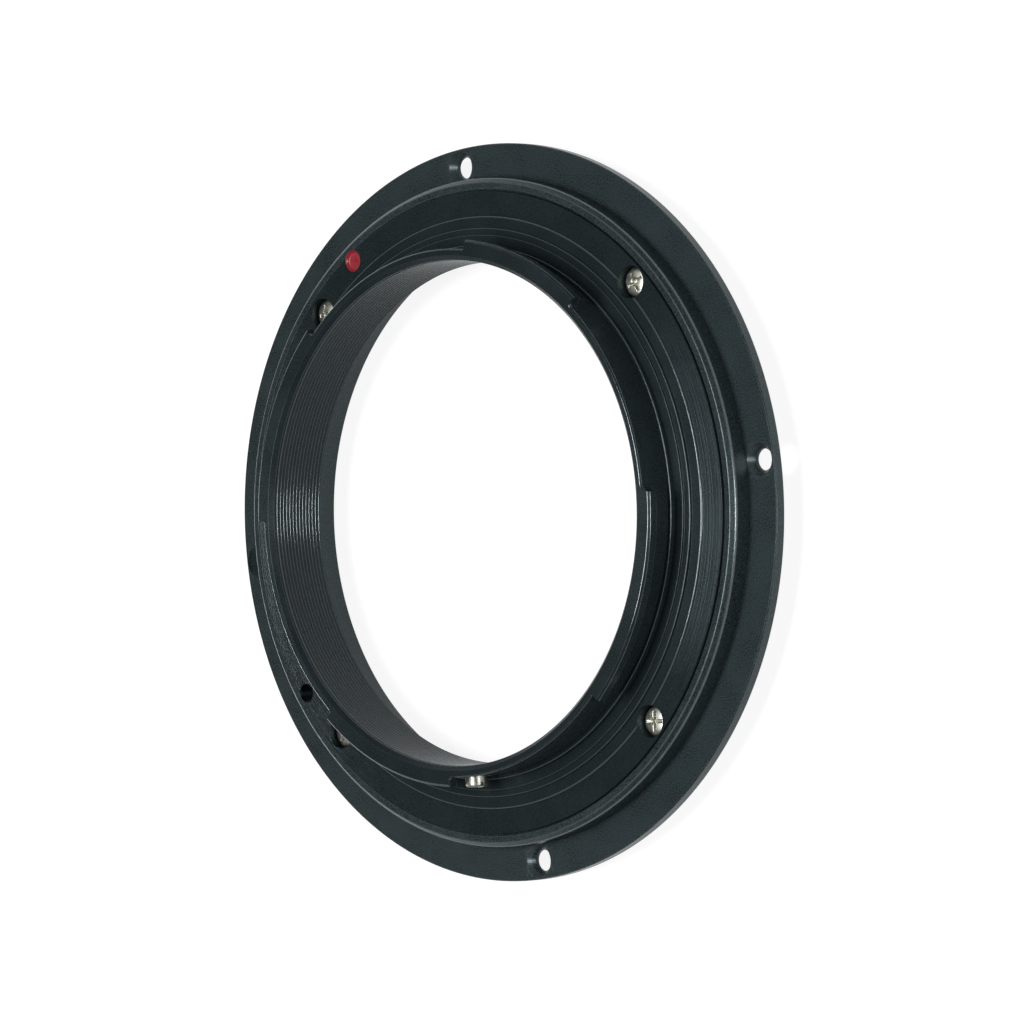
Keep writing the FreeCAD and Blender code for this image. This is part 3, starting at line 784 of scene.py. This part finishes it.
def lug_columns(s):
    """Angles of the ring's columns, and how far each one is inside a lug.

    Even columns, and a close bunch at each lug end. Inside a lug the share is 1. Past its end, at a
    distance x, the height left by a cutter of radius p is p - sqrt(p^2 - (p - x)^2), down to none.
    """
    starts, spans = np.array(s.lug_starts), np.array(s.lug_spans)
    runs = np.array([s.first_runs, s.last_runs])
    ends = np.stack([starts, starts + spans])
    away = np.array([-1.0, 1.0])[:, None, None]
    bunch = np.concatenate([
        np.broadcast_to(LUG_WALL, (*runs.shape, len(LUG_WALL))),
        runs[:, :, None] * LUG_FILLET + LUG_WALL[-1],
    ], axis=2)
    close = (ends[:, :, None] + away * bunch / s.lug_outer).ravel()
    every = np.mod(np.concatenate([whole_turn(BAYONET_COLUMNS), close]), math.tau)
    angles = np.unique(np.round(every, ANGLE_DIGITS))
    off = np.mod(angles[:, None] - (starts + spans / 2) + math.pi, math.tau) - math.pi
    outside = (np.abs(off) - spans / 2) * s.lug_outer
    run = np.where(off > 0, runs[1], runs[0])
    x = np.clip(outside, 0, run)
    foot = (run - np.sqrt(np.maximum(run**2 - (run - x) ** 2, 0.0))) / (s.lug_outer - s.tube)
    wall = np.clip(1.0 - outside / LUG_WALL[-1], 0.0, 1.0)
    share_in = np.where(outside <= 0, 1.0, np.maximum(smooth(wall), np.minimum(foot, 1.0)))
    return angles, share_in.max(axis=1)


class MOUNT_OT_bayonet(Operator):
    """Builds the bayonet ring: bearing face, low lands, tube with four lugs and a ridged bore"""

    bl_idname = "lens_mount.bayonet"
    bl_label = "Bayonet ring"

    def execute(self, context):
        s, f = context.scene.mount_bayonet, context.scene.mount_fastener
        colours = context.scene.mount_colours
        plain, wear = eased(*bayonet_outline(s, False), steps=BAYONET_STEPS)
        lugged, lug_wear = eased(*bayonet_outline(s, True), steps=BAYONET_STEPS)
        angles, inside = lug_columns(s)
        section = plain[:, None, :] + (lugged - plain)[:, None, :] * inside[None, :, None]
        worn = wear[:, None] + (lug_wear - wear)[:, None] * inside[None, :]
        ring = skin("bayonet_shell", [lathe(section, angles)], True, worn)
        low, high, dot_wide = s.seat - PAST, s.collar_z + PAST, f.dot + f.clear
        sink = plug([
            (f.hole, low), (f.hole, f.sink_floor), (f.sink, f.sink_floor), (f.sink, high),
        ])
        lock = plug([(s.lock_hole, low), (s.lock_hole, high)])
        dot = plug([(dot_wide, f.dot_floor), (dot_wide, high)])
        pin_wide = f.stop_pin + f.clear
        spot = plug([
            (pin_wide, s.bore - PAST), (pin_wide, f.stop_seat),
            (f.stop_spot, f.stop_seat), (f.stop_spot, s.lug_outer + PAST),
        ])
        carve(ring, [
            *quarters(sink, f.circle, f.turn_first),
            placed(lock, around(s.lock_circle, s.lock_turn)),
            placed(dot, around(f.dot_circle, f.dot_turn)),
            placed(spot, (0.0, 0.0, f.stop_height), 0.0, around(1.0, f.stop_turn)),
        ])
        black = black_finish(
            "turned_black", colours.turned, colours.worn, colours.turned_rough,
            colours.turned_gloss, grain=0.10, lines=0.9, stretch=colours.turned_stretch,
            bare=0.65, speck=0.15,
        )
        settle(ring, black, "bayonet_ring")
        matte = black_finish(
            "bore_black", colours.bore, colours.crest, colours.bore_rough,
            colours.bore_gloss, grain=0.10, lines=0.0, stretch=0.0, bare=0.95, speck=0.25,
        )
        finish_inside(ring, matte, s.bore + s.ridge_depth + BORE_MARGIN)
        return {"FINISHED"}


# A head's middle, as a share of the way to its rim, and the power of its crown's curve.
HEAD_MIDDLE, CROWN = 0.01, 2.4
# A cross recess: the width of its slopes as a share of an arm's half width, then in slope widths
# the run-out of an arm and the slope of the middle, and the middle's reach in half widths.
CROSS_FALL, CROSS_RUN, CROSS_CONE, CROSS_MIDDLE = 0.85, 2.2, 1.6, 2.3
# The width of a slot's walls as a share of its half width, and how the stop screw's slot is turned.
SLOT_FALL, SLOT_TURN = 0.25, 0.4
# Painted shade: the stop screw's nickel is darkened to this share of the screws' nickel, so that it
# shows dimmer than the lamps and the white floor leave it.
STOP_PAINTED_SHADE = 0.42
# The index dot, in shares of its radius: the rim and the middle of its dish, and its foot. Then how
# strongly the slope bends, and the heights of the small edges at the foot and under the rim.
DOT_RIM, DOT_MIDDLE, DOT_FOOT, DOT_BEND = 0.975, 0.02, 0.97, 0.6
DOT_FOOT_EDGE, DOT_RIM_EDGE = 0.03 * MM, 0.04 * MM


def head_grid(radius, top, foot, crown, recess, tail):
    """Grid of a screw: its head from the middle outwards, down its wall, and along its shank.

    The head's height is top - crown (1 - (1 - q^c)^(1/c)) with q = r / radius and the crown's power
    c, less the depth of the recess at that place. The tail is a list of radius and height below the
    head.
    """
    angle = whole_turn(HEAD_COLUMNS)[None, :]
    q = np.sin(np.linspace(HEAD_MIDDLE, 1.0, HEAD_ROWS) * QUARTER)[:, None]
    height = top - crown * (1 - np.maximum(1 - q**CROWN, 0.0) ** (1 / CROWN))
    x, y = radius * q * np.cos(angle), radius * q * np.sin(angle)
    cap = np.stack([x, y, height - recess(x, y)], axis=-1)
    wall = lathe(np.array([(radius, foot), *tail]), angle[0])
    return np.concatenate([cap, wall])[::-1]


def cross_recess(f):
    """Depth of a cross recess: two tapered slots and a cone in the middle, with smooth slopes."""
    fall = f.cross_half * CROSS_FALL

    def arm(end, side):
        run_out = (f.cross_arm - np.abs(end)) / (fall * CROSS_RUN)
        return np.minimum((f.cross_half - np.abs(side)) / fall, run_out)

    def depth(x, y):
        middle = (f.cross_half * CROSS_MIDDLE - np.hypot(x, y)) / (fall * CROSS_CONE)
        down = np.maximum(np.maximum(arm(x, y), arm(y, x)), middle)
        return f.cross_deep * smooth(np.clip(down, 0.0, 1.0))

    return depth


def slot_recess(f):
    """Depth of a straight slot with steep walls."""
    fall = f.slot_half * SLOT_FALL
    return lambda x, y: f.slot_deep * np.clip((f.slot_half - np.abs(y)) / fall, 0.0, 1.0)


class MOUNT_OT_screws(Operator):
    """Builds the four recessed screws with their cross recesses"""

    bl_idname = "lens_mount.screws"
    bl_label = "Recessed screws"

    def execute(self, context):
        f = context.scene.mount_fastener
        one = head_grid(
            f.head, f.head_top, f.sink_floor, f.head_crown, cross_recess(f),
            [(f.shank, f.sink_floor), (f.shank, f.tip)],
        )
        screws = skin("recessed_screws", quarters(one, f.circle, f.turn_first, f.cross_turns))
        nickel = nickel_finish("screw_nickel_plate", context.scene.mount_colours.nickel)
        settle(screws, nickel, "bayonet_screws")
        return {"FINISHED"}


class MOUNT_OT_stop(Operator):
    """Builds the stop screw that ends the turn of the mount"""

    bl_idname = "lens_mount.stop"
    bl_label = "Stop screw"

    def execute(self, context):
        f = context.scene.mount_fastener
        one = head_grid(
            f.stop_head, f.stop_top, f.stop_seat, f.stop_crown, slot_recess(f),
            [(f.stop_pin, f.stop_seat), (f.stop_pin, f.stop_tip)],
        )
        grid = placed(one, (0.0, 0.0, f.stop_height), SLOT_TURN, around(1.0, f.stop_turn))
        stop = skin("stop_pin", [grid])
        # Painted shade: the stop screw gets a darkened copy of the nickel.
        tone = scaled(context.scene.mount_colours.nickel, STOP_PAINTED_SHADE)
        nickel = nickel_finish("stop_nickel_painted_shade", tone)
        settle(stop, nickel, "stop_screw")
        return {"FINISHED"}


class MOUNT_OT_index(Operator):
    """Builds the red index dot, enamel that lines a recess across the seam of the rings"""

    bl_idname = "lens_mount.index"
    bl_label = "Index dot"

    def execute(self, context):
        f = context.scene.mount_fastener
        r = f.dot * np.linspace(DOT_RIM, DOT_MIDDLE, DOT_ROWS)
        u = np.clip((r - (f.dot - f.dot_slope)) / f.dot_slope, 0.0, 1.0)
        rise = u * u * (1 + DOT_BEND - DOT_BEND * u)
        dish = np.stack([r, f.dot_mid + (f.dot_edge - f.dot_mid) * rise], 1)
        wall = [
            (f.dot * DOT_FOOT, f.dot_floor), (f.dot, f.dot_floor + DOT_FOOT_EDGE),
            (f.dot, f.dot_edge - DOT_RIM_EDGE),
        ]
        grid = placed(plug(np.concatenate([wall, dish])), around(f.dot_circle, f.dot_turn))
        dot = skin("index_enamel", [grid])
        red = enamel_finish("index_red_enamel", context.scene.mount_colours.red)
        settle(dot, red, "index_dot")
        return {"FINISHED"}


# ---------------------------------------------------------------------------------------------
# Stage
# ---------------------------------------------------------------------------------------------


# Width of the camera's sensor in millimetres, the range it shows in metres, and the inner edge of
# the floor as a share of its reach.
SENSOR, CLIP, FLOOR_INNER = 36.0, (0.01, 20.0), 0.001
# White paper: its grey where it only lights the object, its grey and glow where it is seen, and the
# room's colour.
PAPER_GREY, SEEN_GREY, SEEN_GLOW, ROOM_COLOUR = 0.75, 0.2, 0.88, (0.9, 0.95, 1.0, 1.0)


def grey(level):
    """A colour of equal channels, with full alpha."""
    return (level, level, level, 1.0)


def set_camera(scene, s, middle):
    """The camera, swung and tilted about a middle; gives its directions to the right and back."""
    view = Matrix.Rotation(s.tilt, 3, "X") @ Matrix.Rotation(-s.swing, 3, "Y")
    to_camera = view.transposed()
    place = to_camera @ Vector((-s.shift_x, -s.shift_y, s.distance))
    data = bpy.data.cameras.new("camera")
    data.lens, data.sensor_width = s.lens, SENSOR
    data.clip_start, data.clip_end = CLIP
    camera = bpy.data.objects.new("camera", data)
    scene.collection.objects.link(camera)
    camera.matrix_world = Matrix.Translation(middle + place) @ to_camera.to_4x4()
    scene.camera = camera
    return to_camera.col[0].copy(), to_camera.col[2].copy()


def seen_directly(tree):
    """1 for a ray from the camera, or off a gloss or through glass, and else 0."""
    path = add(tree, "ShaderNodeLightPath").outputs
    some = calc(tree, "MAXIMUM", path["Is Camera Ray"], path["Is Glossy Ray"])
    return calc(tree, "MAXIMUM", some, path["Is Transmission Ray"])


def paper_finish(name):
    """White paper that glows where it is seen directly, and else only scatters light."""
    paper = bpy.data.materials.new(name)
    paper.use_nodes = True
    tree = paper.node_tree
    tree.nodes.clear()
    plain = add(tree, "ShaderNodeBsdfDiffuse", Color=grey(PAPER_GREY)).outputs[0]
    shade = add(tree, "ShaderNodeBsdfDiffuse", Color=grey(SEEN_GREY)).outputs[0]
    glow = add(tree, "ShaderNodeEmission", Color=grey(1.0), Strength=SEEN_GLOW).outputs[0]
    bright = add(tree, "ShaderNodeAddShader", i0=shade, i1=glow).outputs[0]
    mixed = add(tree, "ShaderNodeMixShader", i0=seen_directly(tree), i1=plain, i2=bright).outputs[0]
    add(tree, "ShaderNodeOutputMaterial", Surface=mixed)
    return paper


def set_floor(scene, s):
    """A round floor with a wall: an outline carried round the axis, closed in the middle only."""
    inner = s.floor_reach * FLOOR_INNER
    outline = [(s.floor_reach, s.wall_height), (s.floor_reach, 0.0), (inner, 0.0)]
    sweep = plug(outline, FLOOR_COLUMNS)
    *faces, _over_the_wall, middle = faces_of(*sweep.shape[:2], False)
    mesh = bpy.data.meshes.new("floor")
    mesh.from_pydata(sweep.reshape(-1, 3).tolist(), [], [*faces, middle])
    floor = bpy.data.objects.new("floor", mesh)
    scene.collection.objects.link(floor)
    mesh.materials.append(paper_finish("white_paper"))


def set_room(scene, s):
    """A dim room around the stage."""
    world = bpy.data.worlds.new("studio")
    scene.world = world
    world.use_nodes = True
    tree = world.node_tree
    tree.nodes.clear()
    dome = add(tree, "ShaderNodeBackground", Color=ROOM_COLOUR, Strength=s.room_light)
    add(tree, "ShaderNodeOutputWorld", Surface=dome.outputs[0])


def set_lamp(scene, name, place, aim, tall, wide, power):
    """A soft box at a place, turned to its aim; the camera doesn't see it."""
    data = bpy.data.lights.new(name, "AREA")
    data.shape, data.size, data.size_y, data.energy = "RECTANGLE", tall, wide, power
    box = bpy.data.objects.new(name, data)
    scene.collection.objects.link(box)
    box.location = place
    box.rotation_euler = (aim - place).to_track_quat("-Z", "Y").to_euler()
    box.visible_camera = False


class MOUNT_OT_stage(Operator):
    """Sets up the white floor, the soft lamps and the camera"""

    bl_idname = "lens_mount.stage"
    bl_label = "Stage"

    def execute(self, context):
        scene, s = context.scene, context.scene.mount_stage
        middle = Vector((0.0, 0.0, scene.mount_flange.plate_front))
        right, back = set_camera(scene, s, middle)
        set_floor(scene, s)
        set_room(scene, s)
        for name, angle, drop, tall, wide, power in (
            ("front", s.front_turn, 0.0, s.front_tall, s.front_wide, s.front_power),
            ("side", s.side_turn, 0.0, s.side_tall, s.side_wide, s.side_power),
            ("low", s.low_turn, s.low_drop, s.low_tall, s.low_wide, s.low_power),
        ):
            away = (back * math.cos(angle) + right * math.sin(angle)) * s.lamp_reach
            away = away - Vector((0.0, drop, 0.0))
            set_lamp(scene, "lamp_" + name, middle + away, middle, tall, wide, power)
        scene.view_settings.view_transform = "Standard"
        return {"FINISHED"}


class MOUNT_PT_pieces(Panel):
    """Sidebar list of the mount's pieces and sizes"""

    bl_idname = "MOUNT_PT_pieces"
    bl_label = "Lens mount"
    bl_space_type = "VIEW_3D"
    bl_region_type = "UI"
    bl_category = "Lens mount"

    def draw(self, context):
        for step in STEPS:
            self.layout.operator(step.bl_idname)
        for name, group in GROUPS.items():
            box = self.layout.box()
            box.label(text=group.__doc__)
            for key in group.__annotations__:
                box.prop(getattr(context.scene, name), key)


GROUPS = {
    "mount_flange": FlangeSizes,
    "mount_bayonet": BayonetSizes,
    "mount_fastener": FastenerSizes,
    "mount_colours": FinishColours,
    "mount_stage": StageSetup,
}
STEPS = (
    MOUNT_OT_flange, MOUNT_OT_bayonet, MOUNT_OT_screws,
    MOUNT_OT_stop, MOUNT_OT_index, MOUNT_OT_stage,
)


def register():
    """Registers the classes, and gives the scene its groups of sizes and colours."""
    for group in GROUPS.values():
        bpy.utils.register_class(group)
    for step in (*STEPS, MOUNT_PT_pieces):
        bpy.utils.register_class(step)
    for name, group in GROUPS.items():
        setattr(bpy.types.Scene, name, PointerProperty(type=group))


def unregister():
    """Undoes what register does, in the opposite order."""
    for name in GROUPS:
        delattr(bpy.types.Scene, name)
    for step in (MOUNT_PT_pieces, *reversed(STEPS)):
        bpy.utils.unregister_class(step)
    for group in reversed(GROUPS.values()):
        bpy.utils.unregister_class(group)


def main():
    """Registers the classes, and builds every piece and the stage."""
    register()
    bpy.ops.lens_mount.flange()
    bpy.ops.lens_mount.bayonet()
    bpy.ops.lens_mount.screws()
    bpy.ops.lens_mount.stop()
    bpy.ops.lens_mount.index()
    bpy.ops.lens_mount.stage()
    bpy.context.view_layer.update()


if __name__ == "__main__":
    main()
